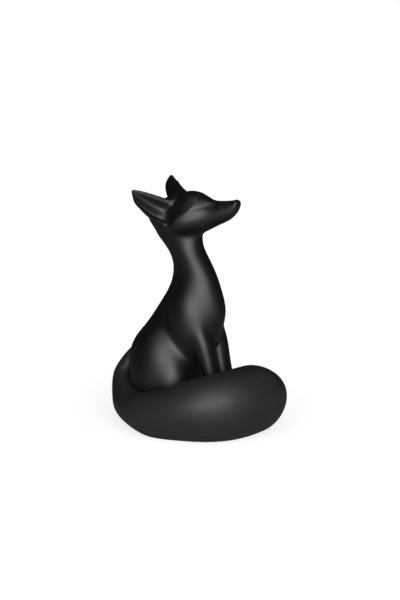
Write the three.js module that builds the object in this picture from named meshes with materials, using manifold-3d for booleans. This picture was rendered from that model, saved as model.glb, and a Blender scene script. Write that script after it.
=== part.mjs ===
import * as THREE from 'three';
import { LoftGeometry } from 'three/addons/geometries/LoftGeometry.js';
import { mergeVertices } from 'three/addons/utils/BufferGeometryUtils.js';
import Module from 'manifold-3d';

// A seated fox with its tail round its paws, cast in pieces that are pinned together.
// Millimetres: +X is the way it faces, +Y its left, +Z up from the table.

// Main places: the back of the rump, the forepaws that the tail lies round, and the neck under the head
const RUMP_FORE = -84;
const PAWS_FORE = 25;
const NECK_BASE_UP = 140;
const NECK_LENGTH = 66;

// Fits, and where the neck and the forelegs are parted
const GAP = 0.3;
const FOOT_LIFT = 1.2;
const NECK_JOINT_ALONG = 0.424;
const LEG_JOINT_UP = 66;

// Pins, and where each joint has them
const NECK_PIN = { radius: 4, length: 40 };
const LIMB_PIN = { radius: 2.5, length: 24 };
const EAR_PIN = { radius: 1.5, length: 16 };
const EAR_PIN_ALONG = 0.34;
const EAR_PIN_DEPTH = 0.75;
const ROOT_PIN_ALONG = 0.27;
const ROOT_PIN_IN = 2;
const FLANK_PIN_ALONG = 0.545;

// Felt pads in pockets underneath
const PAD = { radius: 5.5, set: 1.5 };
const REAR_PAD_IN = 14;
const TAIL_SIDE_PAD_ALONG = 0.623;
const TAIL_TIP_PAD_ALONG = 0.82;

// Torso and neck: back, front and half width at each height
const TORSO = [
  { up: 0, back: RUMP_FORE + 6, front: -14, half: 33 },
  { up: 20, back: RUMP_FORE + 1, front: -10, half: 35 },
  { up: 45, back: RUMP_FORE, front: -9, half: 32 },
  { up: 68, back: RUMP_FORE + 1, front: -10, half: 26 },
  { up: 86, back: RUMP_FORE + 5, front: -5, half: 21 },
  { up: 100, back: RUMP_FORE + 14.5, front: 6.5, half: 19 },
  { up: 112, back: RUMP_FORE + 23.5, front: 14.5, half: 18.5 },
  { up: 126, back: -51, front: 16.5, half: 18.5 },
  { up: NECK_BASE_UP, back: -42.5, front: 13, half: 18.5 },
  { up: neckUp(0.21), back: -37.5, front: 7.5, half: 18.5 },
  { up: neckUp(0.455), back: -39, front: -1, half: 18 },
  { up: neckUp(0.636), back: -46.5, front: -7, half: 18 },
  { up: neckUp(0.818), back: -56, front: -9, half: 17 },
  { up: neckUp(1), back: -56, front: -14, half: 13 },
];
const TORSO_BLEND = 4;
const NECK_BLEND = 4;
const LIMB_BLEND = 3.5;
const EDGE_BLEND = 0.2;
const LIMB_REACH = 2.2;
const LIMB_SINK = 0.5;
const HAUNCH = { fore: RUMP_FORE + 37, out: 19, up: 54, long: 34, wide: 25, high: 50, pitch: 0 };
const SHOULDER = { fore: -9, out: 13, up: 112, long: 20, wide: 14, high: 33, pitch: -10, yaw: 22 };
const HIND_PAW = { fore: -12, out: 32, up: 5, long: 28, wide: 12, high: 12, pitch: 0 };
const SWELLINGS = [HAUNCH, SHOULDER, HIND_PAW];

// Forelegs: place and half sizes at each height
const LEG = [
  { up: 0, fore: PAWS_FORE, out: 13, deep: 13, half: 10.5 },
  { up: 8, fore: PAWS_FORE - 1, out: 13, deep: 12.5, half: 10.5 },
  { up: 18, fore: PAWS_FORE - 5, out: 12.2, deep: 9.3, half: 9.8 },
  { up: 35, fore: PAWS_FORE - 7.8, out: 11.7, deep: 8.3, half: 9.8 },
  { up: 60, fore: 10.3, out: 12, deep: 9, half: 10.2 },
  { up: 80, fore: 4.3, out: 13, deep: 11, half: 11.2 },
  { up: 96, fore: -0.5, out: 13, deep: 11.3, half: 11.5 },
  { up: 116, fore: -9, out: 11, deep: 9, half: 9 },
];
const TOE_ROUND = 3;

// Head, from the top of the neck: top, bottom and half width at each place forward
const HEAD = [
  { fore: -23, top: 10, bottom: -6, half: 14 },
  { fore: -13, top: 21, bottom: -12, half: 19.5 },
  { fore: -3, top: 27, bottom: -14, half: 22.5 },
  { fore: 9, top: 30.5, bottom: -13, half: 23.5 },
  { fore: 21, top: 31, bottom: -11, half: 20.5 },
  { fore: 32, top: 27.5, bottom: -8.5, half: 15 },
  { fore: 40.5, top: 24, bottom: -4.5, half: 12 },
  { fore: 50.5, top: 23.3, bottom: 0.3, half: 10.2 },
  { fore: 61, top: 24.3, bottom: 6, half: 8.2 },
  { fore: 66, top: 25.3, bottom: 10.8, half: 7 },
  { fore: 71, top: 26.5, bottom: 17.5, half: 5.5 },
];
const NAPE_ROUND = 8;
const NOSE_ROUND = 4;
const HEAD_BLEND = 2.5;
const SOCKET_BLEND = 1.25;
const CHEEK = { fore: 18, out: 12, up: 2, long: 17, wide: 11, high: 12, pitch: -16 };
const NAPE = { fore: -14, out: 13.5, up: 5, long: 12.5, wide: 10, high: 11, pitch: 20 };
const SOCKET = { fore: 37, out: 17, up: 17.5, long: 11, wide: 4.5, high: 3.5, pitch: -18, yaw: 24 };

// Ears, from the top of the neck: the upper edge runs from crown to tip and the span hangs below it
const RIGHT_EAR = {
  crown: { fore: 2, out: 13, up: 21 },
  cheek: { fore: 6, out: 17, up: 0 },
  tip: { fore: -28, out: 38.5, up: 32.5 },
  bulge: 0.75,
};
const LEFT_EAR = {
  crown: { fore: 10, out: 9, up: 29 },
  cheek: { fore: 7, out: 22, up: 0 },
  tip: { fore: -30, out: 39, up: 40 },
  bulge: 1.1,
};
const EAR = [
  { along: -0.3, span: 24, rise: 0, deep: 12, lip: 2 },
  { along: 0, span: 25, rise: 0.5, deep: 15, lip: 2 },
  { along: 0.25, span: 25.5, rise: 1.5, deep: 15, lip: 2 },
  { along: 0.5, span: 23, rise: 2, deep: 14, lip: 2 },
  { along: 0.79, span: 16, rise: 2, deep: 11, lip: 2 },
  { along: 0.94, span: 9.5, rise: 1.5, deep: 6.5, lip: 1.8 },
  { along: 1, span: 4, rise: 1, deep: 3, lip: 1.5 },
];
const EAR_RIM = 2.2;
const CONCH = { startAlong: -0.1, endAlong: 0.9, roundAlong: 0.4, depthShare: 0.5 };

// Tail: centre line and half sizes, from the rump round the right side to the front
const TAIL = [
  { fore: RUMP_FORE + 28, left: 4, up: 84, high: 11, wide: 11 },
  { fore: RUMP_FORE + 11.5, left: 3, up: 69, high: 13.5, wide: 13.5 },
  { fore: RUMP_FORE + 1.5, left: -5, up: 54, high: 15, wide: 15 },
  { fore: RUMP_FORE + 0.5, left: -17, up: 43, high: 16.5, wide: 16 },
  { fore: RUMP_FORE + 13, left: -36, up: 31.5, high: 17.5, wide: 17.5 },
  { fore: RUMP_FORE + 30, left: -53, up: 24.5, high: 16.5, wide: 20 },
  { fore: -30.5, left: -61.5, up: 22.5, high: 22.5, wide: 22 },
  { fore: -5, left: -61, up: 25.5, high: 26.5, wide: 25 },
  { fore: PAWS_FORE - 4, left: -52, up: 30, high: 31, wide: 28.5 },
  { fore: PAWS_FORE + 17, left: -33, up: 33.5, high: 34, wide: 30.5 },
  { fore: PAWS_FORE + 30.5, left: -5, up: 35.8, high: 33.8, wide: 31.5 },
  { fore: PAWS_FORE + 38, left: 27, up: 39, high: 30.5, wide: 31.5 },
];
const TAIL_ROOT_ROUND = 0.02;
const TAIL_TIP_ROUND = 0.091;

// Facets: stations along each form, sides around it, and how finely outlines are found
const STEPS = { paw: 6, torso: 23, elbow: 10, leg: 10, neck: 12, head: 19, ear: 12, conch: 8, tail: 27 };
const DOME_STEPS = 5;
const SIDES = { torso: 40, limb: 20, head: 34, ear: 18, tail: 28, pad: 28, pin: 14 };
const DOME_POLE = 0.06;
const SEARCH_STEP = 1;
const CLOSE = 1e-4;
const TORSO_REACH = 90;
const HEAD_REACH = 60;

const RIGHT = -1;
const LEFT = 1;
const BOTH = [RIGHT, LEFT];
const FORWARD = new THREE.Vector3(1, 0, 0);
const LEFTWARD = new THREE.Vector3(0, 1, 0);
const UPWARD = new THREE.Vector3(0, 0, 1);

const wasm = await Module();
wasm.setup();

function neckUp(along) {
  return NECK_BASE_UP + along * NECK_LENGTH;
}

function spread(low, high, steps) {
  return Array.from({ length: steps + 1 }, (_, i) => THREE.MathUtils.lerp(low, high, i / steps));
}

function turns(sides) {
  return spread(0, Math.PI * 2, sides).slice(0, sides);
}

// Stations from low to high, closing to a dome where an end is rounded
function stations(low, high, lowRound, highRound, steps) {
  const dome = spread(DOME_POLE, 1 - DOME_POLE, DOME_STEPS - 1).map((share) => share * Math.PI / 2);
  const start = dome.map((turn) => ({ at: low + lowRound * (1 - Math.cos(turn)), scale: Math.sin(turn) }));
  const end = dome.map((turn) => ({ at: high - highRound * (1 - Math.cos(turn)), scale: Math.sin(turn) }));
  const between = spread(low + lowRound, high - highRound, steps).map((at) => ({ at, scale: 1 }));
  return [...(lowRound ? start : []), ...between, ...(highRound ? end.reverse() : [])];
}

// A table of rows read as one smooth curve
function curve(rows, key) {
  const names = Object.keys(rows[0]).filter((name) => name !== key);
  const places = rows.map((row) => row[key]);
  const values = rows.flatMap((row) => names.map((name) => row[name]));
  const line = new THREE.CubicInterpolant(places, values, names.length);
  return (place) => {
    const found = line.evaluate(place);
    return Object.fromEntries(names.map((name, i) => [name, found[i]]));
  };
}

// Closed geometry to a solid that can be cut, and back to a named mesh
function solid(geometry) {
  const bare = new THREE.BufferGeometry().setAttribute('position', geometry.getAttribute('position'));
  const merged = mergeVertices(bare.setIndex(geometry.index), CLOSE);
  const corners = merged.index.array;
  const triVerts = [];
  for (let i = 0; i < corners.length; i += 3) {
    const [a, b, c] = corners.slice(i, i + 3);
    if (a !== b && b !== c && c !== a) triVerts.push(a, b, c);
  }
  return new wasm.Manifold(new wasm.Mesh({
    numProp: 3,
    vertProperties: merged.getAttribute('position').array,
    triVerts: new Uint32Array(triVerts),
  }));
}

function piece(name, shape, material) {
  const mesh = shape.getMesh();
  const geometry = new THREE.BufferGeometry();
  geometry.setAttribute('position', new THREE.BufferAttribute(mesh.vertProperties, 3));
  geometry.setIndex(new THREE.BufferAttribute(mesh.triVerts, 1));
  geometry.computeVertexNormals();
  const part = new THREE.Mesh(geometry, material.clone());
  part.name = name;
  return part;
}

function loft(sections) {
  return solid(new LoftGeometry(sections, { capStart: true, capEnd: true }));
}

function oval(centre, across, acrossHalf, along, alongHalf, sides, first = 0) {
  return turns(sides).map((turn) => centre.clone()
    .addScaledVector(across, acrossHalf * Math.cos(turn + first))
    .addScaledVector(along, alongHalf * Math.sin(turn + first)));
}

// Measures of a place against a form: below zero inside it, roughly a distance near its surface
function ovalMeasure(x, y, halfX, halfY) {
  return (Math.hypot(x / halfX, y / halfY) - 1) * Math.min(halfX, halfY);
}

function lobeMeasure(form, side, origin) {
  const { degToRad } = THREE.MathUtils;
  const turn = new THREE.Euler(0, degToRad(form.pitch), degToRad(-side * (form.yaw ?? 0)), 'ZYX');
  const centre = new THREE.Vector3(form.fore, form.out * side, form.up).add(origin);
  const inward = new THREE.Matrix4().makeRotationFromEuler(turn).setPosition(centre).invert();
  const least = Math.min(form.long, form.wide, form.high);
  const local = new THREE.Vector3();
  return (place) => {
    local.copy(place).applyMatrix4(inward);
    return (Math.hypot(local.x / form.long, local.y / form.wide, local.z / form.high) - 1) * least;
  };
}

function blended(measures, softness) {
  return -softness * Math.log(measures.reduce((sum, measure) => sum + Math.exp(-measure / softness), 0));
}

// A blend that fades out at both ends of a run, so that a form leaves its neighbours without a step
function fading(softness, share) {
  return EDGE_BLEND + softness * Math.sin(Math.PI * share);
}

// How far along a ray a measured form is left: the last such place within reach, or the first
function lastEdge(inside, reach) {
  let far = reach;
  while (far > SEARCH_STEP && !inside(far - SEARCH_STEP)) far -= SEARCH_STEP;
  return far;
}

function firstEdge(inside, reach) {
  let far = SEARCH_STEP;
  while (far < reach && inside(far)) far += SEARCH_STEP;
  return far;
}

// The outline of a measured form around a centre, in the plane of two directions
function contour(measure, centre, across, along, reach, sides, grow, edge) {
  return turns(sides).map((turn) => {
    const ray = across.clone().multiplyScalar(Math.cos(turn)).addScaledVector(along, Math.sin(turn));
    const at = (far) => centre.clone().addScaledVector(ray, far);
    const inside = (far) => measure(at(far)) < grow;
    let high = edge(inside, reach);
    let low = high - SEARCH_STEP;
    while (high - low > CLOSE) {
      const middle = (low + high) / 2;
      if (inside(middle)) low = middle;
      else high = middle;
    }
    return at(low);
  });
}

// Torso, with haunches, shoulders and hind paws swelling out of it
const torsoAt = curve(TORSO, 'up');
const neckTop = neckUp(1);
const neckJointUp = neckUp(NECK_JOINT_ALONG);
const ground = new THREE.Vector3();
const swellings = BOTH.flatMap((side) => SWELLINGS.map((form) => lobeMeasure(form, side, ground)));

function torsoCentre(up) {
  const { back, front } = torsoAt(up);
  return new THREE.Vector3((back + front) / 2, 0, up);
}

function torsoMeasure(place) {
  const { back, front, half } = torsoAt(place.z);
  const oval = ovalMeasure(place.x - (back + front) / 2, place.y, (front - back) / 2, half);
  return blended([oval, ...swellings.map((swelling) => swelling(place))], TORSO_BLEND);
}

function torsoRing(up, measure, grow) {
  return contour(measure, torsoCentre(up), FORWARD, LEFTWARD, TORSO_REACH, SIDES.torso, grow, lastEdge);
}

function torsoForm(grow = 0) {
  const pawTop = HIND_PAW.up + HIND_PAW.high;
  const rows = [...spread(0, pawTop, STEPS.paw), ...spread(pawTop, neckJointUp, STEPS.torso).slice(1)];
  return loft(rows.map((up) => torsoRing(up, torsoMeasure, grow)));
}

// Forelegs: whole below the joint, and growing softly into the shoulder above it
const legAt = curve(LEG, 'up');
const legTop = LEG.at(-1).up;

function legCentre(side, up) {
  const { fore, out } = legAt(up);
  return new THREE.Vector3(fore, out * side, up);
}

function legForm(side, grow = 0) {
  return loft(stations(0, LEG_JOINT_UP, TOE_ROUND, 0, STEPS.leg).map(({ at, scale }) => {
    const { deep, half } = legAt(at);
    return oval(legCentre(side, at), FORWARD, deep * scale + grow, LEFTWARD, half * scale + grow, SIDES.limb);
  }));
}

function elbowForm(side, grow = 0) {
  return loft(spread(LEG_JOINT_UP + GAP, legTop, STEPS.elbow).map((up) => {
    const { fore, out, deep, half } = legAt(up);
    const softness = fading(LIMB_BLEND, THREE.MathUtils.inverseLerp(LEG_JOINT_UP, legTop, up));
    const measure = (place) => blended([
      torsoMeasure(place) + LIMB_SINK,
      ovalMeasure(place.x - fore, place.y - out * side, deep, half),
    ], softness);
    const reach = LIMB_REACH * deep;
    return contour(measure, legCentre(side, up), FORWARD, LEFTWARD, reach, SIDES.limb, grow, firstEdge);
  }));
}

// Head, with full cheeks and nape and the closed eyes sunk in their sockets
const headSeat = torsoCentre(neckTop);
const headAt = curve(HEAD, 'fore');
const fullness = BOTH.flatMap((side) => [CHEEK, NAPE].map((form) => lobeMeasure(form, side, headSeat)));
const sockets = BOTH.map((side) => lobeMeasure(SOCKET, side, headSeat));
const headBack = HEAD[0].fore;
const headFront = HEAD.at(-1).fore;

// The share of its rows that the head keeps where it closes to the nape and the nose
function headClosing(fore) {
  const inNape = Math.max(0, headBack + NAPE_ROUND - fore) / NAPE_ROUND;
  const inNose = Math.max(0, fore - headFront + NOSE_ROUND) / NOSE_ROUND;
  return Math.sqrt(Math.max(DOME_POLE ** 2, 1 - inNape ** 2 - inNose ** 2));
}

function headMeasure(place) {
  const ahead = place.x - headSeat.x;
  const fore = THREE.MathUtils.clamp(ahead, headBack, headFront);
  const { top, bottom, half } = headAt(fore);
  const scale = headClosing(fore);
  const up = place.z - headSeat.z - (top + bottom) / 2;
  const skull = ovalMeasure(place.y, up, half * scale, scale * (top - bottom) / 2) + Math.abs(ahead - fore);
  const full = blended([skull, ...fullness.map((swelling) => swelling(place))], HEAD_BLEND);
  return -blended([-full, ...sockets.map((socket) => socket(place))], SOCKET_BLEND);
}

function headForm(grow = 0) {
  return loft(stations(headBack, headFront, NAPE_ROUND, NOSE_ROUND, STEPS.head).map(({ at }) => {
    const { top, bottom } = headAt(at);
    const centre = new THREE.Vector3(at, 0, (top + bottom) / 2).add(headSeat);
    return contour(headMeasure, centre, LEFTWARD, UPWARD, HEAD_REACH, SIDES.head, grow, firstEdge);
  }));
}

// The upper neck opens softly into the head
function neckForm(grow = 0) {
  return loft(spread(neckJointUp + GAP, neckTop, STEPS.neck).map((up) => {
    const softness = fading(NECK_BLEND, THREE.MathUtils.inverseLerp(neckJointUp, neckTop, up));
    const measure = (place) => blended([torsoMeasure(place), headMeasure(place) + LIMB_SINK], softness);
    return torsoRing(up, measure, grow);
  }));
}

// Ears: along to the tip, down across the span, out of the open face
const earAt = curve(EAR, 'along');

function earFrame(side) {
  const ear = side === RIGHT ? RIGHT_EAR : LEFT_EAR;
  const [crown, tip, cheek] = [ear.crown, ear.tip, ear.cheek]
    .map(({ fore, out, up }) => new THREE.Vector3(fore, out * side, up).add(headSeat));
  const length = crown.distanceTo(tip);
  const along = tip.sub(crown).normalize();
  const down = cheek.sub(crown);
  down.addScaledVector(along, -down.dot(along)).normalize();
  const open = down.clone().cross(along).multiplyScalar(side);
  return { crown, along, down, open, length, bulge: ear.bulge };
}

function earCentre({ crown, along, down, length }, share) {
  const { span, rise } = earAt(share);
  return crown.clone().addScaledVector(along, share * length).addScaledVector(down, span / 2 - rise);
}

function earRing(frame, share, half, depth, before) {
  const middle = earCentre(frame, share);
  const behind = frame.bulge * depth;
  const flank = frame.along.clone().cross(frame.open);
  return turns(SIDES.ear).map((turn) => {
    const face = Math.cos(turn);
    return middle.clone()
      .addScaledVector(frame.open, face * (face > 0 ? before : behind))
      .addScaledVector(flank, Math.sin(turn) * half);
  });
}

function earForm(side) {
  const frame = earFrame(side);
  return loft(spread(EAR[0].along, EAR.at(-1).along, STEPS.ear).map((share) => {
    const { span, deep, lip } = earAt(share);
    return earRing(frame, share, span / 2, deep, lip);
  }));
}

function conchForm(side) {
  const frame = earFrame(side);
  const { startAlong, endAlong, roundAlong, depthShare } = CONCH;
  return loft(stations(startAlong, endAlong, roundAlong, 0, STEPS.conch).map(({ at, scale }) => {
    const { span, deep, lip } = earAt(at);
    return earRing(frame, at, (span / 2 - EAR_RIM) * scale, deep * depthShare * scale, lip + EAR_RIM);
  }));
}

// Tail, swelling from the rump to a blunt tip
const tailPoints = TAIL.map(({ fore, left, up }) => new THREE.Vector3(fore, left, up));
const tailPath = new THREE.CatmullRomCurve3(tailPoints);
const tailRows = TAIL.map(({ high, wide }, i) => ({ share: i / (TAIL.length - 1), high, wide }));
const tailAt = curve(tailRows, 'share');

// The rings turn as little as they can along the tail, so that its sides run without a twist
function tailForm() {
  const start = UPWARD.clone().cross(tailPath.getTangent(0)).normalize();
  return loft(stations(0, 1, TAIL_ROOT_ROUND, TAIL_TIP_ROUND, STEPS.tail).map(({ at, scale }) => {
    const { high, wide } = tailAt(at);
    const ahead = tailPath.getTangent(at);
    const across = UPWARD.clone().cross(ahead).normalize();
    const rise = ahead.clone().cross(across);
    start.addScaledVector(ahead, -start.dot(ahead)).normalize();
    const first = Math.atan2(start.dot(rise), start.dot(across));
    return oval(tailPath.getPoint(at), across, wide * scale, rise, high * scale, SIDES.tail, first);
  }));
}

// Pins, each with a hole a gap larger all round
function rod(middle, direction, radius, length) {
  const turn = new THREE.Quaternion().setFromUnitVectors(LEFTWARD, direction.clone().normalize());
  const geometry = new THREE.CylinderGeometry(radius, radius, length, SIDES.pin);
  return solid(geometry.applyQuaternion(turn).translate(middle.x, middle.y, middle.z));
}

function pin(middle, direction, { radius, length }) {
  return {
    body: rod(middle, direction, radius, length),
    hole: rod(middle, direction, radius + GAP, length + 2 * GAP),
  };
}

function legPin(side) {
  const reach = LIMB_PIN.length / 2;
  const run = legCentre(side, LEG_JOINT_UP + reach).sub(legCentre(side, LEG_JOINT_UP - reach));
  return pin(legCentre(side, LEG_JOINT_UP), run, LIMB_PIN);
}

function earPin(side) {
  const frame = earFrame(side);
  const middle = earCentre(frame, EAR_PIN_ALONG);
  middle.addScaledVector(frame.open, -EAR_PIN_DEPTH * frame.bulge * earAt(EAR_PIN_ALONG).deep);
  return pin(middle, frame.along, EAR_PIN);
}

function rootPin() {
  const place = tailPath.getPoint(ROOT_PIN_ALONG);
  const inward = torsoCentre(place.z).sub(place).normalize();
  return pin(place.addScaledVector(inward, ROOT_PIN_IN), inward, LIMB_PIN);
}

function flankPin() {
  const place = tailPath.getPoint(FLANK_PIN_ALONG);
  return pin(place.addScaledVector(LEFTWARD, tailAt(FLANK_PIN_ALONG).wide), LEFTWARD, LIMB_PIN);
}

const pins = {
  neck_dowel: pin(torsoCentre(neckJointUp), UPWARD, NECK_PIN),
  right_ear_dowel: earPin(RIGHT),
  left_ear_dowel: earPin(LEFT),
  right_foreleg_dowel: legPin(RIGHT),
  left_foreleg_dowel: legPin(LEFT),
  tail_root_dowel: rootPin(),
  tail_flank_dowel: flankPin(),
};

// Pads, each in a pocket a gap larger
function disc(radius, low, high, { x, y }) {
  const geometry = new THREE.CylinderGeometry(radius, radius, high - low, SIDES.pad);
  return solid(geometry.rotateX(Math.PI / 2).translate(x, y, (low + high) / 2));
}

function pad(place) {
  return {
    body: disc(PAD.radius, 0, FOOT_LIFT + PAD.set - GAP, place),
    pocket: disc(PAD.radius + GAP, 0, FOOT_LIFT + PAD.set, place),
  };
}

const rearPadPlace = new THREE.Vector3(torsoAt(FOOT_LIFT).back + REAR_PAD_IN, 0, 0);
const pads = {
  rear_pad: pad(rearPadPlace),
  left_paw_pad: pad(new THREE.Vector3(HIND_PAW.fore, HIND_PAW.out, 0)),
  tail_side_pad: pad(tailPath.getPoint(TAIL_SIDE_PAD_ALONG)),
  tail_tip_pad: pad(tailPath.getPoint(TAIL_TIP_PAD_ALONG)),
};

// All that lies below the castings' feet, wider than the whole figure
function underside() {
  const wide = 4 * neckTop;
  return solid(new THREE.BoxGeometry(wide, wide, neckTop).translate(0, 0, FOOT_LIFT - neckTop / 2));
}

// Castings: each form less its neighbours

function bodyForm(grow = 0) {
  return torsoForm(grow).add(elbowForm(RIGHT, grow)).add(elbowForm(LEFT, grow));
}

const conches = conchForm(RIGHT).add(conchForm(LEFT));
const bodyClear = bodyForm(GAP);
const headClear = headForm(GAP).add(neckForm(GAP));
const legsClear = legForm(RIGHT, GAP).add(legForm(LEFT, GAP));

const castings = {
  torso: bodyForm().subtract(pads.rear_pad.pocket).subtract(pads.left_paw_pad.pocket),
  head: headForm().add(neckForm()).subtract(conches),
  right_ear: earForm(RIGHT).subtract(headClear).subtract(conches),
  left_ear: earForm(LEFT).subtract(headClear).subtract(conches),
  right_foreleg: legForm(RIGHT).subtract(bodyClear),
  left_foreleg: legForm(LEFT).subtract(bodyClear),
  tail: tailForm().subtract(bodyClear).subtract(legsClear)
    .subtract(pads.tail_side_pad.pocket)
    .subtract(pads.tail_tip_pad.pocket),
};
const cuts = Object.values(pins).reduce((all, { hole }) => all.add(hole), underside());

const castBlack = new THREE.MeshStandardMaterial({ color: '#1c1c1d', roughness: 0.5 });
const felt = new THREE.MeshStandardMaterial({ color: '#35322f', roughness: 1 });
const steel = new THREE.MeshStandardMaterial({ color: '#b9bcc0', roughness: 0.35, metalness: 1 });

const figure = new THREE.Group();
figure.name = 'seated_fox';
for (const [name, shape] of Object.entries(castings)) {
  figure.add(piece(name, shape.subtract(cuts), castBlack));
}
for (const [name, { body }] of Object.entries(pins)) figure.add(piece(name, body, steel));
for (const [name, { body }] of Object.entries(pads)) figure.add(piece(name, body, felt));

// The origin is the middle of the whole footprint, on the table
const middle = new THREE.Box3().setFromObject(figure).getCenter(new THREE.Vector3());
for (const part of figure.children) part.geometry.translate(-middle.x, -middle.y, 0);

export default figure;
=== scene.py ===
# %% [markdown]
# # A seated fox in matte black
# The ornament is cast in seven pieces, pinned, glued and painted satin black. The pieces are a torso, a
# head, two ears, two forelegs and a tail that lies round the paws. This lesson sculpts each of them over
# the CAD part, paints them, and sets them on a pale floor in soft studio light.

# %% Load the CAD part as the frame
import math

import bmesh
import bpy
import numpy as np
from mathutils import Matrix, Vector


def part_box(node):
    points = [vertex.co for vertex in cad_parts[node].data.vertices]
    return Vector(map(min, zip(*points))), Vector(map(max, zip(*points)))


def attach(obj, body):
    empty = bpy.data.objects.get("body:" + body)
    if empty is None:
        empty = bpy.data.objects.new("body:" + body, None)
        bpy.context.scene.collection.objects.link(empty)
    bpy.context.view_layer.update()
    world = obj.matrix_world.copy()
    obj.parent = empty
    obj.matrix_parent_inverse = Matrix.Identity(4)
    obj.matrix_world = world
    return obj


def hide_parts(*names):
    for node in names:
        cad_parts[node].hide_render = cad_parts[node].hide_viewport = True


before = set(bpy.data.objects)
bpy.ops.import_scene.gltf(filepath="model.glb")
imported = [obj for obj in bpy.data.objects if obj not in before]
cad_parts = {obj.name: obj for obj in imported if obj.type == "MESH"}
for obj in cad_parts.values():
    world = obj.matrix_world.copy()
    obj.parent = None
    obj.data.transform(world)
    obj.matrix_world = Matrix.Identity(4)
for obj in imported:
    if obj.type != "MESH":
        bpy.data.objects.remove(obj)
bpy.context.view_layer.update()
print("nodes in the frame:", len(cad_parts))

# %% [markdown]
# ## One drawing for the whole figure
# The CAD part was drawn in millimetres with the fox's own middle line at zero, then moved so that its
# footprint is centred. The forms below are drawn the same way. The left hind paw's felt pad sits right
# under the paw in both, so it tells how far the drawing has to move, and nothing is fitted by eye.

# %% Find the drawing's origin in the frame
MM = 0.001
RIGHT, LEFT = -1, 1
BOTH = (RIGHT, LEFT)
SIDE_NAMES = {RIGHT: "right", LEFT: "left"}
HIND_PAW = dict(place=(-12, 32, 5), half=(28, 12, 12))

pad_low, pad_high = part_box("left_paw_pad")
pad_middle = (np.array(pad_low) + np.array(pad_high)) / 2
ORIGIN = np.array([pad_middle[0], pad_middle[1], 0]) - MM * np.array([*HIND_PAW["place"][:2], 0])


def placed(matrix):
    """A matrix in the drawing's millimetres, as one in the frame's metres."""
    return Matrix.Translation(ORIGIN) @ Matrix.Scale(MM, 4) @ matrix


print("the drawing moves by", np.round(ORIGIN / MM, 2), "mm")

# %% [markdown]
# ## Soft forms that flow together
# A sculptor lays clay on clay and smooths the valleys. Here each form is a measure: below zero inside it,
# above zero outside, and about a distance near its skin. Booleans would leave a hard edge where two forms
# meet. Measures can be joined with a soft fold instead, so a haunch grows out of a flank. A table of rows
# is read as one spline, so that light runs along the body without bands.


# %% Read a table as a smooth curve
def curve(rows):
    """A natural cubic spline through rows: the first column is the place, the others are what it gives."""
    table = np.array(rows, float)
    places, values = table[:, 0], table[:, 1:]
    gaps = np.diff(places)
    slopes = np.diff(values, axis=0) / gaps[:, None]
    system = np.diag(2 * (gaps[:-1] + gaps[1:])) + np.diag(gaps[1:-1], 1) + np.diag(gaps[1:-1], -1)
    bends = np.zeros_like(values)
    bends[1:-1] = np.linalg.solve(system, 6 * np.diff(slopes, axis=0))

    def at(place):
        place = np.clip(place, places[0], places[-1])
        i = np.clip(np.searchsorted(places, place) - 1, 0, len(gaps) - 1)
        gap = gaps[i]
        after = np.asarray((place - places[i]) / gap)
        before = 1 - after
        line = before * values[i].T + after * values[i + 1].T
        bow = (before**3 - before) * bends[i].T + (after**3 - after) * bends[i + 1].T
        return line + bow * gap**2 / 6

    return at


# %% Measure an oval section and an egg-shaped lobe
def oval(x, y, half_x, half_y):
    return (np.hypot(x / half_x, y / half_y) - 1) * np.minimum(half_x, half_y)


def lobe_matrix(form, side):
    """Where a lobe lies: a pitch leans its top forwards, and a yaw turns its front inwards."""
    fore, out, up = form["place"]
    yaw = Matrix.Rotation(math.radians(-side * form.get("yaw", 0)), 4, "Z")
    pitch = Matrix.Rotation(math.radians(form.get("pitch", 0)), 4, "Y")
    return Matrix.Translation((fore, side * out, up)) @ yaw @ pitch


def lobe(points, form, side):
    turn = np.array(lobe_matrix(form, side))
    local = (points - turn[:3, 3]) @ turn[:3, :3]
    return (np.linalg.norm(local / form["half"], axis=1) - 1) * min(form["half"])


# %% Join measures
def melted(measures, softness):
    """All the measures as one, each swelling into the others."""
    return -softness * np.log(sum(np.exp(-measure / softness) for measure in measures))


def joined(first, second, reach):
    """Two forms with a fillet where they meet, and each left alone further off than the reach."""
    fold = np.maximum(reach - np.abs(first - second), 0) / reach
    return np.minimum(first, second) - reach * fold**3 / 6


def carved(form, tool, reach):
    return -joined(-form, tool, reach)


# %% [markdown]
# ## The torso
# A fox sitting up has a pear-shaped trunk: broad over the haunches, hollow above the belly, full in the
# chest and narrow in the neck. Ovals at fourteen heights give the pear. Haunches, knees, shoulders and hind
# paws are lobes that swell out of it. The upper forelegs belong to this casting too. They grow out of the
# shoulders with a wide fillet outside and a sharp fold at the brisket, where the real legs press together.

# %% Draw the trunk and its lobes
# Height, back, front and half width
TRUNK = curve([
    (0, -78, -14, 33), (20, -85, -10, 35), (45, -88, -9, 32), (68, -89, -10, 26), (86, -81.5, -5, 21),
    (100, -69.5, 6.5, 19), (112, -60.5, 15.2, 18.5), (126, -51, 16.5, 18.5), (140, -42.5, 13, 17.5),
    (154, -38, 8, 16.3), (170, -39.5, -0.5, 15.8), (182, -47, -6.5, 16), (194, -56.5, -8.5, 16),
    (206, -56, -14, 13),
])
TRUNK_TOP = 206
HAUNCH = dict(place=(-44, 20, 50), half=(30, 24, 51), yaw=25)
KNEE = dict(place=(-24.5, 29, 42), half=(14, 10, 22), yaw=25)
SHOULDER = dict(place=(-9, 13.5, 107), half=(20, 14, 34), pitch=-10, yaw=32)
TRUNK_LOBES = (HAUNCH, KNEE, SHOULDER, HIND_PAW)
TRUNK_SOFTNESS = 4


def trunk(points):
    x, y, z = points.T
    back, front, half = TRUNK(z)
    pear = oval(x - (back + front) / 2, y, (front - back) / 2, half) + np.maximum(z - TRUNK_TOP, 0)
    lobes = [lobe(points, form, side) for form in TRUNK_LOBES for side in BOTH]
    return melted([pear, *lobes], TRUNK_SOFTNESS)


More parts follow.
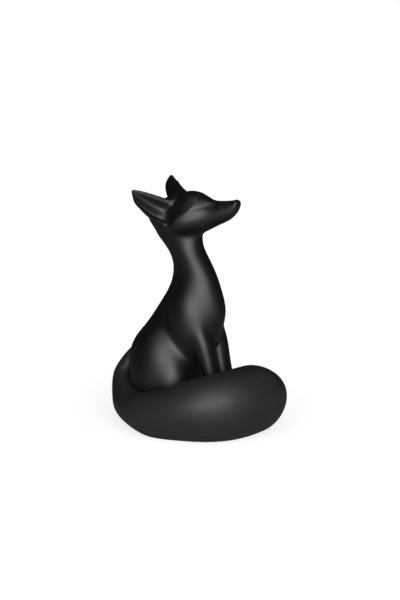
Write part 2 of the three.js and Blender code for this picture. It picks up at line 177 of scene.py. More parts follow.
HAUNCH_UP = HAUNCH["place"][2]
print("at its haunches the trunk runs from %.1f to %.1f mm" % tuple(TRUNK(HAUNCH_UP)[:2]))

# %% Add the upper forelegs
# Height, fore, out, half depth and half width
LEG = curve([
    (0, 25, 13, 13, 10.5), (8, 24, 13, 12.5, 10.5), (18, 20, 12.2, 9.3, 9.8), (35, 17.2, 11.7, 8.3, 9.8),
    (60, 10.3, 12, 9, 10.2), (80, 4.3, 13, 11, 11.2), (96, -0.5, 13, 11.3, 11.5), (116, -9, 11, 9, 9),
])
LEG_TOP = 116
LEG_JOINT = 66
ELBOW_FILLET, BRISKET_FILLET = 9, 1.5
BRISKET_HALF = 11
LEAST_RISE = 0.02


def leg(points, side):
    x, y, z = points.T
    fore, out, deep, half = LEG(z)
    return oval(x - fore, y - side * out, deep, half) + np.maximum(z - LEG_TOP, 0)


def torso(points):
    body = trunk(points)
    rise = np.clip((points[:, 2] - LEG_JOINT) / (LEG_TOP - LEG_JOINT), LEAST_RISE, 1)
    outer = np.clip(np.abs(points[:, 1]) / BRISKET_HALF - 1, 0, 1)
    reach = (BRISKET_FILLET + (ELBOW_FILLET - BRISKET_FILLET) * outer) * np.sqrt(rise)
    for side in BOTH:
        body = joined(body, leg(points, side), reach)
    return body


print("the forelegs are parted", LEG_JOINT, "mm up")

# %% [markdown]
# ## Clay to skin
# A form starts as a stretched ball, or as a row of circles joined by bridge_loops, the way a loft is made
# by hand. Overlapping forms are fused by a voxel Remesh, which leaves stair steps. A Smooth modifier would
# take them off but shrink the form. So the last step is the sculptor's thumb: every point slides along the
# slope of the measure until the measure is zero, and smooth_vert spreads the points between slides. That
# keeps an even mesh and gives the exact fillets.

# %% Loft rings
RING_SEGMENTS = 64


def ring_matrix(centre, across, along):
    """Places a unit circle: its x axis at across and its y axis at along, both in the drawing."""
    across, along = Vector(across), Vector(along)
    ahead = across.cross(along).normalized()
    columns = Matrix((across, along, ahead)).transposed().to_4x4()
    return placed(Matrix.Translation(Vector(centre)) @ columns)


def add_loft(bm, rings, segments=RING_SEGMENTS, lift=0.0):
    """A skin over rings. A lift raises the widest part of each ring, which makes it an egg."""
    loops = []
    for ring in rings:
        made = bmesh.ops.create_circle(bm, cap_ends=False, segments=segments, radius=1)
        for vert in made["verts"]:
            vert.co = ring @ (vert.co + Vector((0, lift * (1 - vert.co.y**2), 0)))
        loops.append({edge for vert in made["verts"] for edge in vert.link_edges})
    for low, high in zip(loops, loops[1:]):
        bmesh.ops.bridge_loops(bm, edges=[*low, *high])
    for end in (loops[0], loops[-1]):
        bmesh.ops.edgeloop_fill(bm, edges=list(end))


# %% Add lobes and fuse the clay
LOBE_SUBDIVISIONS = 4


def add_lobe(bm, form, side):
    stretch = Matrix.Diagonal((*form["half"], 1))
    matrix = placed(lobe_matrix(form, side) @ stretch)
    bmesh.ops.create_icosphere(bm, subdivisions=LOBE_SUBDIVISIONS, radius=1, matrix=matrix)


def finished_mesh(bm, name):
    mesh = bpy.data.meshes.new(name)
    bm.to_mesh(mesh)
    bm.free()
    return mesh


def add_to_scene(name, data):
    thing = bpy.data.objects.new(name, data)
    bpy.context.scene.collection.objects.link(thing)
    return thing


def worked_in(thing):
    """The thing's mesh with its modifiers worked in. The thing itself is cleared away."""
    mesh = bpy.data.meshes.new_from_object(thing.evaluated_get(bpy.context.evaluated_depsgraph_get()))
    bpy.data.objects.remove(thing)
    return mesh


def fused(mesh, voxel):
    """The mesh's overlapping shells as one skin of even squares."""
    clay = add_to_scene("clay", mesh)
    remesh = clay.modifiers.new("fuse", "REMESH")
    remesh.mode = "VOXEL"
    remesh.voxel_size = voxel * MM
    skin = worked_in(clay)
    bm = bmesh.new()
    bm.from_mesh(skin)
    bpy.data.meshes.remove(skin)
    for face in bm.faces:
        face.smooth = True
    return bm


# %% Settle a skin on its measure
SLOPE_STEP = 0.02
LEAST_SLOPE = 0.05
LONGEST_SLIDE = 1.5
LAST_SLIDES = 2
SPREAD = 0.5


def slope(measure, points, value):
    steps = SLOPE_STEP * np.eye(3)
    return np.stack([measure(points + step) - value for step in steps], axis=1) / SLOPE_STEP


def settle(bm, measure, rounds):
    """Slides all points onto the measure's skin, and keeps the skin's own direction at each of them."""
    facing = bm.verts.layers.float_vector.new("facing")
    verts = list(bm.verts)
    for left in reversed(range(rounds)):
        points = (np.array([vert.co for vert in verts]) - ORIGIN) / MM
        value = measure(points)
        tilt = slope(measure, points, value)
        slide = tilt * (value / np.maximum((tilt**2).sum(1), LEAST_SLOPE))[:, None]
        length = np.linalg.norm(slide, axis=1, keepdims=True)
        slide *= np.minimum(1, LONGEST_SLIDE / np.maximum(length, SLOPE_STEP))
        for vert, place in zip(verts, ORIGIN + MM * (points - slide)):
            vert.co = place
        if left > LAST_SLIDES:
            bmesh.ops.smooth_vert(
                bm, verts=verts, factor=SPREAD, use_axis_x=True, use_axis_y=True, use_axis_z=True,
            )
    for vert, direction in zip(verts, tilt):
        vert[facing] = Vector(direction).normalized()
    off = np.abs(measure(points - slide)).max()
    print("a skin of", len(verts), "points settles to within %.3f mm" % off)


# %% Cut a skin with a level plane and close the cut
def close_flat(bm, rim):
    """Flat faces over open rims, with a hard edge round them."""
    for face in bmesh.ops.holes_fill(bm, edges=rim)["faces"]:
        face.smooth = False
    for edge in rim:
        edge.smooth = False


def cut_level(bm, up, keep_above, faces=None):
    faces = faces or list(bm.faces)
    edges = {edge for face in faces for edge in face.edges}
    verts = {vert for face in faces for vert in face.verts}
    level = placed(Matrix.Translation((0, 0, up))).translation
    cut = bmesh.ops.bisect_plane(
        bm, geom=[*verts, *edges, *faces], plane_co=level, plane_no=(0, 0, 1),
        clear_inner=keep_above, clear_outer=not keep_above,
    )
    close_flat(bm, [edge for edge in cut["geom_cut"] if isinstance(edge, bmesh.types.BMEdge)])


# %% Lay the torso's clay
NECK_JOINT = 168
SPARE = 6
TRUNK_STEP, LEG_CLAY_STEP = 4, 5


def trunk_ring(up):
    back, front, half = TRUNK(up)
    return ring_matrix(((back + front) / 2, 0, up), ((front - back) / 2, 0, 0), (0, half, 0))


def leg_ring(side, up, size=1):
    fore, out, deep, half = LEG(up)
    return ring_matrix((fore, side * out, up), (size * deep, 0, 0), (0, size * half, 0))


def trunk_clay():
    bm = bmesh.new()
    rings = [trunk_ring(up) for up in range(0, NECK_JOINT + SPARE, TRUNK_STEP)]
    below = Matrix.Translation((0, 0, -SPARE * MM))
    add_loft(bm, [below @ rings[0], *rings])
    for side in BOTH:
        add_loft(bm, [leg_ring(side, up) for up in range(LEG_JOINT - SPARE, LEG_TOP, LEG_CLAY_STEP)])
        for form in TRUNK_LOBES:
            add_lobe(bm, form, side)
    return finished_mesh(bm, "trunk_clay")


# %% Turn a skin into a piece that stands for a casting
def shade_by_facing(mesh):
    """The skin's own direction lights it, so no facet shows. Faces that close a cut stay flat."""
    facing = np.empty(3 * len(mesh.vertices))
    mesh.attributes["facing"].data.foreach_get("vector", facing)
    corners = np.empty(len(mesh.loops), int)
    mesh.loops.foreach_get("vertex_index", corners)
    normals = facing.reshape(-1, 3)[corners]
    for face in mesh.polygons:
        if not face.use_smooth:
            normals[face.loop_start:face.loop_start + face.loop_total] = face.normal
    mesh.normals_split_custom_set(normals)
    mesh.attributes.remove(mesh.attributes["facing"])


def stand_in(mesh, node):
    piece = add_to_scene(node + "_cast", mesh)
    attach(piece, "root")
    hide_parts(node)
    print(piece.name, "has", len(mesh.polygons), "faces")
    return piece


def casting(bm, node):
    mesh = finished_mesh(bm, node)
    shade_by_facing(mesh)
    return stand_in(mesh, node)


# %% Sculpt the torso and cut it
TORSO_VOXEL, TORSO_ROUNDS = 1.0, 8
FOOT_LIFT = 1.2
STUB_FRONT = -5


def stub_faces(bm):
    """Faces ahead of the trunk at the joint: the upper forelegs' ends, and a sliver of belly between."""
    low, high = ORIGIN[2] + MM * (LEG_JOINT - 2 * SPARE), ORIGIN[2] + MM * (LEG_JOINT + SPARE)
    front = ORIGIN[0] + MM * STUB_FRONT
    return [face for face in bm.faces
            if all(vert.co.x > front and low < vert.co.z < high for vert in face.verts)]


torso_skin = fused(trunk_clay(), TORSO_VOXEL)
settle(torso_skin, torso, TORSO_ROUNDS)
cut_level(torso_skin, FOOT_LIFT, keep_above=True)
cut_level(torso_skin, NECK_JOINT, keep_above=False)
cut_level(torso_skin, LEG_JOINT, keep_above=True, faces=stub_faces(torso_skin))
torso_piece = casting(torso_skin, "torso")

# %% [markdown]
# ## The head
# The head is a long wedge: a broad skull, full cheeks, and a slim muzzle with its nose turned up. It could
# be modelled face by face from a box, but a soft wedge has no edges to follow. Ovals along the muzzle give
# it instead, and lobes fill out the cheeks and the nape, so that light runs over the whole head unbroken.

# %% Draw the skull
# Fore, top, bottom and half width. The first row lies behind the skull's end and only steers the curve.
SKULL = curve([
    (-63, 220, 200, 13), (-51, 227, 195, 16.5), (-38, 233, 192, 17.5), (-26, 236.5, 193, 19),
    (-14, 237, 195, 19), (-3, 233.5, 197.5, 15), (5.5, 230, 201.5, 12), (15.5, 229.3, 206.3, 10.2),
    (26, 230.3, 212, 8.2), (31, 231.3, 216.8, 7), (36, 232.5, 223.5, 5.5),
])
SKULL_BACK, SKULL_FRONT = -58, 36
NAPE_ROUND, NOSE_ROUND, TIP_SIZE = 8, 4, 0.06
CHEEK = dict(place=(-21, 12.5, 208.5), half=(19, 11, 12), pitch=-16, yaw=18)
NAPE = dict(place=(-52.2, 0, 209), half=(9, 20, 19), pitch=-40)
SKULL_SOFTNESS = 2.5


def closing(fore):
    """How far the skull's ovals shrink where it closes to the nape and to the nose."""
    nape = np.maximum(SKULL_BACK + NAPE_ROUND - fore, 0) / NAPE_ROUND
    nose = np.maximum(fore - SKULL_FRONT + NOSE_ROUND, 0) / NOSE_ROUND
    return np.sqrt(np.maximum(TIP_SIZE**2, 1 - nape**2 - nose**2))


print("the skull is", SKULL_FRONT - SKULL_BACK, "mm long")

# %% [markdown]
# ## The face
# The eyes are closed. On the real piece a modelling tool pressed each as one fine slanting line, with a lid
# above it and a dent in front of it. A bump map would vanish at the outline and from the mesh. So the same
# strokes press the measure itself: a path seen from the side, how wide it is and how deep it goes, with
# less than nothing for a ridge.

# %% Press the face
FACE_STROKES = {
    "slit": dict(path=[(-8.5, 220), (-3, 222.3), (2, 223.8)], width=1.5, depth=0.25),
    "corner": dict(path=[(4, 224), (12, 224.8)], width=3, depth=1),
    "lid": dict(
        path=[(-24, 210.5), (-17, 215), (-11, 219.5), (-6.5, 224.5), (-3.5, 228.5)], width=3, depth=-0.5,
    ),
    "forehead": dict(path=[(-9, 233), (-8, 227)], width=3, depth=-0.4),
    "temple": dict(path=[(-26, 230), (-28, 224), (-30, 216)], width=6, depth=1.5),
}


def pressed(points, stroke):
    """How deep a stroke presses the skin in, fading softly from its path."""
    flat = points[:, [0, 2]]
    path = np.array(stroke["path"])
    apart = np.full(len(points), np.inf)
    for start, end in zip(path, path[1:]):
        way = end - start
        share = np.clip((flat - start) @ way / (way @ way), 0, 1)
        apart = np.minimum(apart, np.linalg.norm(flat - start - share[:, None] * way, axis=1))
    return stroke["depth"] * np.exp(-(apart / stroke["width"])**2)


def skull(points):
    x, y, z = points.T
    fore = np.clip(x, SKULL_BACK, SKULL_FRONT)
    top, bottom, half = SKULL(fore)
    size = closing(fore)
    wedge = oval(y, z - (top + bottom) / 2, size * half, size * (top - bottom) / 2) + np.abs(x - fore)
    cheeks = [lobe(points, CHEEK, side) for side in BOTH]
    full = melted([wedge, *cheeks, lobe(points, NAPE, LEFT)], SKULL_SOFTNESS)
    return full + sum(pressed(points, stroke) for stroke in FACE_STROKES.values())


print("strokes on the face:", ", ".join(FACE_STROKES))

# %% [markdown]
# ## The ears
# Each ear is a leaf folded into a scoop, spread out and back. Its section is half an oval, deep behind and
# nearly flat where it opens. The hollow could be cut with a Boolean, which leaves a hard rim. Here it is a
# bowl over the leaf, drawn as a depth across and a depth along, and carved with a small round at the rim
# and a larger one where it runs out on the temple. The left ear stands a little higher than the right.

# %% Draw the ears
# Share of the length, span, rise of the upper edge, depth behind and lip in front
EAR = curve([
    (-0.3, 24, 0, 12, 2), (0, 25, 0.5, 15, 2), (0.25, 25.5, 1.5, 15, 2), (0.5, 23, 2, 14, 2),
    (0.79, 16, 2, 11, 2), (0.94, 9.5, 1.5, 6.5, 1.8), (1, 4, 1, 3, 1.5),
])
EAR_START = -0.3
EAR_CORNERS = {
    RIGHT: dict(crown=(-33, 13, 227), cheek=(-29, 17, 206), tip=(-63, 38.5, 238.5), depth=0.75),
    LEFT: dict(crown=(-29, 9, 234), cheek=(-28, 22, 206), tip=(-65, 39, 246), depth=1.1),
}


class EarFrame:
    """Directions of one ear: along to the tip, down across the leaf, and out of its open face."""

    def __init__(self, side):
        mirror = np.array([1, side, 1])
        crown, cheek, tip = (mirror * EAR_CORNERS[side][corner] for corner in ("crown", "cheek", "tip"))
        self.crown = crown
        self.depth = EAR_CORNERS[side]["depth"]
        self.length = np.linalg.norm(tip - crown)
        self.along = (tip - crown) / self.length
        down = cheek - crown
        down = down - self.along * (down @ self.along)
        self.down = down / np.linalg.norm(down)
        self.open = side * np.cross(self.down, self.along)

    def place(self, share, across):
        return self.crown + share * self.length * self.along + across * self.down

    def local(self, points):
        away = points - self.crown
        return away @ self.along / self.length, away @ self.down, away @ self.open


EAR_FRAMES = {side: EarFrame(side) for side in BOTH}


def ear(points, side):
    leaf = EAR_FRAMES[side]
    along, across, out = leaf.local(points)
    share = np.clip(along, EAR_START, 1)
    span, rise, deep, lip = EAR(share)
    deep = deep * leaf.depth
    thick = np.where(out > 0, lip, deep)
    section = np.hypot((across - span / 2 + rise) / (span / 2), out / thick) - 1
    return section * np.minimum(span / 2, deep) + np.abs(along - share) * leaf.length


print("the ears are", [round(leaf.length, 1) for leaf in EAR_FRAMES.values()], "mm long")

# %% Carve their bowls
# Share of the span, or of the length, and share of the bowl's depth
BOWL_ACROSS = curve([
    (-0.3, -3), (0, -0.6), (0.1, 0), (0.16, 0.12), (0.25, 0.5), (0.36, 0.9), (0.55, 1), (0.72, 0.9),
    (0.85, 0.72), (0.92, 0.15), (1, -0.6), (1.3, -3),
])
BOWL_ALONG = curve([
    (-1.5, -37), (-0.3, -6.5), (-0.15, -3), (-0.07, -0.9), (0.01, 0.4), (0.08, 0.8), (0.16, 0.97), (0.3, 1),
    (0.6, 0.75), (0.85, 0.4), (1, 0.1),
])
BOWL_DEPTH, BOWL_LIP = 6.2, 0.8
RIM_ROUND, POCKET_ROUND = 1.4, 5
POCKET_REACH = 0.25
EAR_FILLET, NECK_FILLET = 7, 9


def bowl_depth(side):
    """A bowl is as much deeper as its ear is."""
    return BOWL_DEPTH * EAR_FRAMES[side].depth / EAR_FRAMES[RIGHT].depth


def hollow(points, side):
    """The bowl in front of the ear: how far a point lies behind its curved floor."""
    along, across, out = EAR_FRAMES[side].local(points)
    span, rise, _, _ = EAR(np.clip(along, EAR_START, 1))
    [bowl], [fade] = BOWL_ACROSS((across + rise) / span), BOWL_ALONG(along)
    sunk = np.where((bowl > 0) & (fade > 0), bowl * fade, np.minimum(bowl, fade))
    return BOWL_LIP - bowl_depth(side) * sunk - out


def bare_head(points):
    return joined(trunk(points), skull(points), NECK_FILLET)


def head(points):
    form = bare_head(points)
    for side in BOTH:
        form = joined(form, ear(points, side), EAR_FILLET)
    for side in BOTH:
        along, _, _ = EAR_FRAMES[side].local(points)
        near_base = np.clip((POCKET_REACH - along) / POCKET_REACH, 0, 1)
        form = carved(form, hollow(points, side), RIM_ROUND + near_base * (POCKET_ROUND - RIM_ROUND))
    return form


print("the bowls are", [round(bowl_depth(side), 1) for side in BOTH], "mm deep")

# %% Sculpt the head with its ears
HEAD_VOXEL, HEAD_ROUNDS = 0.6, 16
HEAD_RINGS, EAR_RINGS = 40, 24


def skull_ring(fore):
    top, bottom, half = SKULL(fore)
    size = float(closing(fore))
    middle, high = (top + bottom) / 2, (top - bottom) / 2
    return ring_matrix((fore, 0, middle), (0, size * half, 0), (0, 0, size * high))


def ear_ring(side, share):
    span, rise, deep, lip = EAR(share)
    leaf = EAR_FRAMES[side]
    low, high = -deep * leaf.depth, lip
    centre = leaf.place(share, span / 2 - rise) + leaf.open * (low + high) / 2
    return ring_matrix(centre, leaf.open * (high - low) / 2, leaf.down * span / 2)


def head_clay():
    bm = bmesh.new()
    add_loft(bm, [trunk_ring(up) for up in range(NECK_JOINT - SPARE, TRUNK_TOP, TRUNK_STEP)])
    add_loft(bm, [skull_ring(fore) for fore in np.linspace(SKULL_BACK, SKULL_FRONT, HEAD_RINGS)])
    add_lobe(bm, NAPE, LEFT)
    for side in BOTH:
        add_lobe(bm, CHEEK, side)
        add_loft(bm, [ear_ring(side, share) for share in np.linspace(EAR_START, 1, EAR_RINGS)])
    return finished_mesh(bm, "head_clay")


head_skin = fused(head_clay(), HEAD_VOXEL)
settle(head_skin, head, HEAD_ROUNDS)
cut_level(head_skin, NECK_JOINT, keep_above=True)

# %% [markdown]
# ## Parting the ears
# The ears are castings of their own, glued into the head with a pin each. They are sculpted with the head
# so that the fillet at their root runs on without a step. Then the skin is parted where the ear's own
# measure is the nearer one. Each part is closed by a cone to a place inside, which no side shows.

# %% Part the ears from the head
EAR_SEAM = 0.12
EAR_WIDTH = 25


def close_inside(bm, rim, place):
    """A cone of faces from an open rim to a place inside the casting, with a hard edge round it."""
    made = bmesh.ops.extrude_edge_only(bm, edges=rim)["geom"]
    for face in [item for item in made if isinstance(item, bmesh.types.BMFace)]:
        face.smooth = False
    for edge in rim:
        edge.smooth = False
    tips = [item for item in made if isinstance(item, bmesh.types.BMVert)]
    bmesh.ops.pointmerge(bm, verts=tips, merge_co=place)


def part_of(bm, wanted):
    """A copy of the faces that are wanted, closed where it was parted from the others."""
    part = bm.copy()
    part.faces.ensure_lookup_table()
    extra = [part.faces[i] for i in np.flatnonzero(~wanted)]
    bmesh.ops.delete(part, geom=extra, context="FACES")
    middle = ORIGIN[1]
    for side, leaf in EAR_FRAMES.items():
        rim = [edge for edge in part.edges if edge.is_boundary and side * (edge.verts[0].co.y - middle) > 0]
        if rim:
            inside = leaf.place(EAR_SEAM, EAR_WIDTH / 2) - leaf.open * EAR_WIDTH / 4
            close_inside(part, rim, ORIGIN + MM * inside)
    return part


places = (np.array([face.calc_center_median() for face in head_skin.faces]) - ORIGIN) / MM
rest_of_head = bare_head(places)
is_ear = {}
for side, leaf in EAR_FRAMES.items():
    along, _, _ = leaf.local(places)
    is_ear[side] = (ear(places, side) < rest_of_head) & (along > EAR_SEAM)
head_piece = casting(part_of(head_skin, ~is_ear[RIGHT] & ~is_ear[LEFT]), "head")
ear_pieces = [casting(part_of(head_skin, is_ear[side]), SIDE_NAMES[side] + "_ear") for side in BOTH]

# %% [markdown]
# ## Forelegs
# A foreleg is a simple round that tapers to a small closed paw. It blends into nothing past its joint, so a
# loft of close circles is enough and it needs no fusing. The lowest circles shrink along a quarter round,
# which tucks the toes under.

# %% Loft the forelegs
TOE_ROUND = 3
LEG_SEGMENTS = 96
LEG_STEP = 0.8
HARD_ANGLE = math.radians(40)


def smooth_piece(mesh, node):
    mesh.shade_smooth()
    mesh.set_sharp_from_angle(angle=HARD_ANGLE)
    return stand_in(mesh, node)


def foreleg(side):
    node = SIDE_NAMES[side] + "_foreleg"
    rings = []
    for up in np.arange(FOOT_LIFT, LEG_JOINT + LEG_STEP / 2, LEG_STEP):
        under = max(TOE_ROUND - up, 0) / TOE_ROUND
        rings.append(leg_ring(side, min(up, LEG_JOINT), math.sqrt(1 - under**2)))
    bm = bmesh.new()
    add_loft(bm, rings, LEG_SEGMENTS)
    bmesh.ops.recalc_face_normals(bm, faces=bm.faces)
    return smooth_piece(finished_mesh(bm, node), node)


forelegs = [foreleg(side) for side in BOTH]

# %% [markdown]
# ## The tail
# The tail leaves the rump thin, goes down and round the right flank, swells, and lies in front of the paws
# as thick as a bolster. A curve with a bevel would give it a round section all along. The real one is an
# egg, widest above its middle, so it is a loft with a lift. It is cast by itself. The forelegs are cut out
# of it where it leans on them, and its root runs on inside the torso, where no side shows it.

# %% Draw the tail
# Step, fore, left, up, half height and half width
TAIL = curve([
    (0, -56, 4, 84, 10, 10), (1, -79, -0.5, 69, 9, 9), (2, -90, -9.5, 54, 8.5, 8.5),
    (3, -89.5, -20.5, 41, 10.5, 9.5), (4, -75, -38, 29, 14, 13), (5, -54, -53, 23.5, 15.5, 20),
    (6, -30.5, -61.5, 22.5, 22.5, 22), (7, -5, -61, 25.5, 26.5, 25), (8, 19, -54.5, 30, 31, 28.5),
    (9, 42, -36.5, 33.5, 34, 30.5), (10, 55.5, -5, 35.8, 33.8, 31.5), (11, 63, 27, 39, 30.5, 31.5),
])
TAIL_END = 11
TAIL_TIP_ROUND = 1.0
TAIL_LIFT = 0.12
TAIL_STEPS, TIP_STEPS = 200, 28
TAIL_SEGMENTS = 144
LOOK_AHEAD = 0.02


def tail_ring(share, size=1.0):
    fore, left, up, high, wide = TAIL(share)
    ahead = Vector(TAIL(share + LOOK_AHEAD)[:3] - TAIL(share - LOOK_AHEAD)[:3]).normalized()
    across = Vector((0, 0, 1)).cross(ahead).normalized()
    rise = ahead.cross(across)
    return ring_matrix((fore, left, up), across * wide * size, rise * high * size)


def tail_rings():
    rings = [tail_ring(share) for share in np.linspace(0, TAIL_END - TAIL_TIP_ROUND, TAIL_STEPS)]
    for turn in np.linspace(0, math.pi / 2, TIP_STEPS)[1:-1]:
        rings.append(tail_ring(TAIL_END - TAIL_TIP_ROUND * (1 - math.sin(turn)), math.cos(turn)))
    return rings


middle_line = np.array([TAIL(share)[:3] for share in np.linspace(0, TAIL_END, TAIL_STEPS)])
print("the tail is %.0f mm long" % np.linalg.norm(np.diff(middle_line, axis=0), axis=1).sum())


# %% Loft the tail and fit it to the forelegs
def add_cut(clay, tool):
    cut = clay.modifiers.new("cut", "BOOLEAN")
    cut.operation = "DIFFERENCE"
    cut.solver = "MANIFOLD"
    cut.object = tool


tail_clay = bmesh.new()
add_loft(tail_clay, tail_rings(), TAIL_SEGMENTS, TAIL_LIFT)
bmesh.ops.recalc_face_normals(tail_clay, faces=tail_clay.faces)
cut_level(tail_clay, FOOT_LIFT, keep_above=True)
whole_tail = add_to_scene("whole_tail", finished_mesh(tail_clay, "whole_tail"))
for neighbour in forelegs:
    add_cut(whole_tail, neighbour)
tail_piece = smooth_piece(worked_in(whole_tail), "tail")

# %% [markdown]
# ## Felt pads
# Four felt discs keep the casting off the table. They are cut from sheet with a punch, so their rims are
# square with only a little fuzz. A cone with two equal ends is a disc, and a small bevel softens its rims.

# %% Punch the pads
PADS = ("rear_pad", "left_paw_pad", "tail_side_pad", "tail_tip_pad")
PAD_RADIUS, PAD_BEVEL = 5.5, 0.25
PAD_SEGMENTS = 64


def pad(node):
    low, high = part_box(node)
    bm = bmesh.new()
    bmesh.ops.create_cone(
        bm, cap_ends=True, segments=PAD_SEGMENTS, radius1=PAD_RADIUS * MM, radius2=PAD_RADIUS * MM,
        depth=high.z - low.z, matrix=Matrix.Translation((low + high) / 2),
    )
    rims = [edge for edge in bm.edges if abs(edge.verts[0].co.z - edge.verts[1].co.z) < PAD_BEVEL * MM]
    bmesh.ops.bevel(
        bm, geom=rims, offset=PAD_BEVEL * MM, offset_type="OFFSET", segments=2, profile=0.5,
        affect="EDGES", material=-1,
    )
    return smooth_piece(finished_mesh(bm, node), node)


pads = [pad(node) for node in PADS]

# %% [markdown]
# ## Shader maths that reads as maths
# A material is a graph of nodes. A small class holds one socket, so that 0.4 + 0.1 * grain adds the two
# Math nodes by itself. Everything else comes from one method that makes a node, sets it and links it.


# %% Let a socket do arithmetic
class Value:
    """One socket of a finish, with the arithmetic that the finishes use."""

    def __init__(self, finish, socket):
        self.finish = finish
        self.socket = socket

    def math(self, operation, first, second):
        return self.finish.node("ShaderNodeMath", {"operation": operation}, {0: first, 1: second})

    def __add__(self, other):
        return self.math("ADD", self, other)

    __radd__ = __add__

    def __mul__(self, other):
        return self.math("MULTIPLY", self, other)

    __rmul__ = __mul__

    def __sub__(self, other):
        return self.math("SUBTRACT", self, other)

    def __rsub__(self, other):
        return self.math("SUBTRACT", other, self)


# %% Build a finish from nodes
class Finish:
    """A material under construction."""

    def __init__(self, name):
        self.material = bpy.data.materials.new(name)
        self.material.use_nodes = True
        self.tree = self.material.node_tree
        self.shader = self.tree.nodes["Principled BSDF"]
        self.place = self.node("ShaderNodeTexCoord", {}, {}, "Object")

    def node(self, kind, settings, sockets, output=0):
        made = self.tree.nodes.new(kind)
        for name, setting in settings.items():
            setattr(made, name, setting)
        self.fill(made, sockets)
        return Value(self, made.outputs[output])

    def fill(self, made, sockets):
        for name, value in sockets.items():
            if isinstance(value, Value):
                self.tree.links.new(value.socket, made.inputs[name])
            else:
                made.inputs[name].default_value = value

    def noise(self, size, detail=2.0):
        """Noise about one size across, in millimetres."""
        sockets = {"Vector": self.place, "Scale": 1 / (size * MM), "Detail": detail}
        return self.node("ShaderNodeTexNoise", {}, sockets)

    def blend(self, share, first, second):
        """Two colours mixed. A Mix node has its colours at inputs 6 and 7, and gives them at output 2."""
        sockets = {"Factor": share, 6: (*first, 1), 7: (*second, 1)}
        return self.node("ShaderNodeMix", {"data_type": "RGBA"}, sockets, 2)

    def bump(self, height, depth):
        return self.node("ShaderNodeBump", {}, {"Height": height, "Distance": depth * MM, "Strength": 1})


def paint(pieces, finish):
    for piece in pieces:
        piece.data.materials.clear()
        piece.data.materials.append(finish.material)
    print(finish.material.name, "is on", len(pieces), "pieces")


# %% [markdown]
# ## Satin black paint
# The paint is sprayed over resin: nearly black, with a faint orange peel, and cloudy where the coat is
# thicker. A flat black would look cut out of paper. Noise on Object coordinates needs no unwrapping and
# runs on across the joints. The tail is a shade greyer and duller, so both are one function with
# different numbers.

# %% Mix the black
CLOUD_SIZE, PEEL_SIZE, DUST_SIZE = 22, 0.9, 0.25
PEEL_DEPTH = 0.006


def satin_black(name, dark, light, roughness):
    finish = Finish(name)
    clouds = finish.noise(CLOUD_SIZE)
    peel = finish.noise(PEEL_SIZE)
    dust = finish.noise(DUST_SIZE)
    finish.fill(finish.shader, {
        "Base Color": finish.blend(clouds, dark, light),
        "Roughness": roughness - 0.05 + 0.1 * clouds + 0.04 * dust,
        "Normal": finish.bump(peel + 0.4 * dust, PEEL_DEPTH),
    })
    return finish


body_black = satin_black("body_black", (0.003, 0.003, 0.0031), (0.0045, 0.0044, 0.0043), 0.42)
tail_black = satin_black("tail_black", (0.013, 0.0128, 0.0126), (0.018, 0.0176, 0.0172), 0.52)
paint([torso_piece, head_piece, *ear_pieces, *forelegs], body_black)
paint([tail_piece], tail_black)

# %% [markdown]
# ## Felt and steel
# Felt is pressed wool: matt, with tangled hairs and a mottled colour. Hair strands would be lost at this
# size, so two noises and a little sheen stand for them. The pins are plain drawn steel, hidden in the
# joints and finely scratched. They keep their CAD shape.

# %% Mix the felt and the steel
TUFT_SIZE, HAIR_SIZE, HAIR_DEPTH = 1.2, 0.15, 0.12
SCRATCH_SIZE, STAIN_SIZE, SCRATCH_DEPTH = 0.2, 4, 0.01


def pressed_felt():
    finish = Finish("pressed_felt")
    tufts = finish.noise(TUFT_SIZE, detail=4)
    hairs = finish.noise(HAIR_SIZE, detail=3)
    finish.fill(finish.shader, {
        "Base Color": finish.blend(tufts, (0.03, 0.028, 0.026), (0.065, 0.06, 0.055)),
        "Roughness": 0.9 + 0.1 * hairs,
        "Normal": finish.bump(tufts + hairs, HAIR_DEPTH),
        "Sheen Weight": 0.4,
    })
    return finish


def drawn_steel():
    finish = Finish("drawn_steel")
    scratches = finish.noise(SCRATCH_SIZE, detail=3)
    stains = finish.noise(STAIN_SIZE)
    finish.fill(finish.shader, {
        "Base Color": finish.blend(stains, (0.5, 0.51, 0.53), (0.66, 0.67, 0.69)),
        "Roughness": 0.25 + 0.15 * scratches,
        "Metallic": 1,
        "Normal": finish.bump(scratches, SCRATCH_DEPTH),
    })
    return finish


paint(pads, pressed_felt())
paint([piece for node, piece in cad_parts.items() if node.endswith("dowel")], drawn_steel())

# %% [markdown]
# ## The floor
# The ornament stands on a pale sheet that runs out of sight. A sheet lit until it is white would throw
# that light back on the figure. So the sheet itself is grey, and only the camera sees it shine: pure
# white further off, and a little less round the foot, a painted shadow laid over the real one there.

# %% Lay the floor
FLOOR_SIZE = 6
FLOOR_GREY = (0.45, 0.45, 0.45, 1)
# Painted shadow round the foot: deepest within the first reach, gone by the second, at this share of white
PAINTED_SHADOW_REACH, WHITE_REACH = 0.1, 0.45
PAINTED_SHADOW_GLOW = 0.79


def pale_sheet():
    finish = Finish("pale_sheet")
    seen = finish.node("ShaderNodeLightPath", {}, {}, "Is Camera Ray")
    away = finish.node("ShaderNodeVectorMath", {"operation": "LENGTH"}, {0: finish.place}, "Value")
    # Dimmer towards the foot: a painted shadow over the real one
    glow_with_painted_shadow = finish.node("ShaderNodeMapRange", {}, {
        "Value": away, "From Min": PAINTED_SHADOW_REACH, "From Max": WHITE_REACH, "To Min": PAINTED_SHADOW_GLOW, "To Max": 1,
    })
    finish.fill(finish.shader, {
        "Base Color": FLOOR_GREY,
        "Roughness": 0.9,
        "Emission Color": finish.blend(seen * glow_with_painted_shadow, (0, 0, 0), (1, 1, 1)),
        "Emission Strength": 1,
    })
    return finish


floor_mesh = bmesh.new()
bmesh.ops.create_grid(floor_mesh, x_segments=1, y_segments=1, size=FLOOR_SIZE / 2)
floor = add_to_scene("floor", finished_mesh(floor_mesh, "floor"))
paint([floor], pale_sheet())

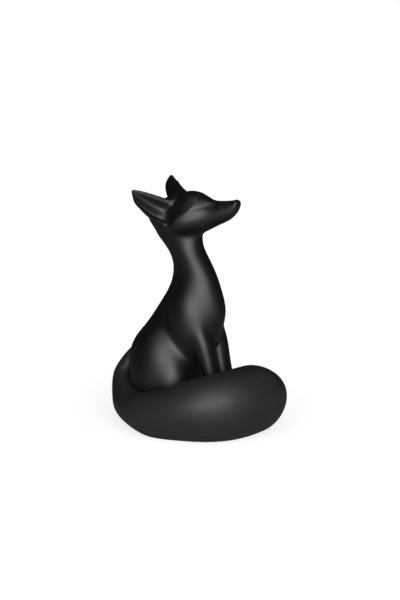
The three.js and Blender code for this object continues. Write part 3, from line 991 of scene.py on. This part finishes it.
# %% [markdown]
# ## The light
# One big soft lamp right by the camera makes the long highlights down the neck, the haunch and the tail.
# Small lamps would make hard spots of them. A weak one above lifts the upper edges. The room is white to
# the camera and dim to everything else, so that the black stays black.

# %% Find the camera's direction
MIDDLE = (-8.9, 0, 128)
AIM = Vector(ORIGIN + MM * np.array(MIDDLE))
AZIMUTH, ELEVATION = math.radians(30), math.radians(11)
TOWARDS_CAMERA = Vector((
    math.sin(AZIMUTH) * math.cos(ELEVATION), -math.cos(AZIMUTH) * math.cos(ELEVATION), math.sin(ELEVATION),
))
TO_THE_RIGHT = Vector((math.cos(AZIMUTH), math.sin(AZIMUTH), 0))
UPWARDS = Vector((0, 0, 1))
print("the camera looks at", [round(value, 4) for value in AIM])

# %% Light the room
ROOM_LIGHT = 0.02
KEY_AHEAD, KEY_ASIDE, KEY_SIZE, KEY_POWER = 1.3, 0.05, 1.0, 20
TOP_AHEAD, TOP_ABOVE, TOP_SIZE, TOP_POWER = 0.7, 1, 0.9, 4


def room():
    world = bpy.data.worlds.new("room")
    bpy.context.scene.world = world
    world.use_nodes = True
    tree = world.node_tree
    path = tree.nodes.new("ShaderNodeLightPath")
    background = tree.nodes["Background"]
    background.inputs["Color"].default_value = (1, 1, 1, 1)
    strength = tree.nodes.new("ShaderNodeMapRange")
    tree.links.new(path.outputs["Is Camera Ray"], strength.inputs["Value"])
    strength.inputs["To Min"].default_value = ROOM_LIGHT
    strength.inputs["To Max"].default_value = 1.0
    tree.links.new(strength.outputs["Result"], background.inputs["Strength"])


def soft_lamp(name, offset, size, power):
    lamp = bpy.data.lights.new(name, "AREA")
    lamp.size = size
    lamp.energy = power
    holder = add_to_scene(name, lamp)
    holder.location = AIM + offset
    holder.rotation_euler = (AIM - holder.location).to_track_quat("-Z", "Y").to_euler()
    print("the", name, "lamp has", power, "W")


room()
soft_lamp("key", KEY_AHEAD * TOWARDS_CAMERA + KEY_ASIDE * TO_THE_RIGHT, KEY_SIZE, KEY_POWER)
soft_lamp("top", TOP_AHEAD * TOWARDS_CAMERA + TOP_ABOVE * UPWARDS, TOP_SIZE, TOP_POWER)

# %% [markdown]
# ## The camera
# Seen from a little above and from the fox's right front, the snout, the near ear and the whole sweep of
# the tail show at once. A long lens from some way off keeps the proportions true.

# %% Set the camera
DISTANCE = 1.5
LENS, SENSOR = 90, 36


def set_camera():
    camera = bpy.data.cameras.new("camera")
    camera.lens = LENS
    camera.sensor_width = SENSOR
    holder = add_to_scene("camera", camera)
    holder.location = AIM + DISTANCE * TOWARDS_CAMERA
    holder.rotation_euler = (-TOWARDS_CAMERA).to_track_quat("-Z", "Y").to_euler()
    bpy.context.scene.camera = holder
    bpy.context.scene.view_settings.view_transform = "Standard"


set_camera()
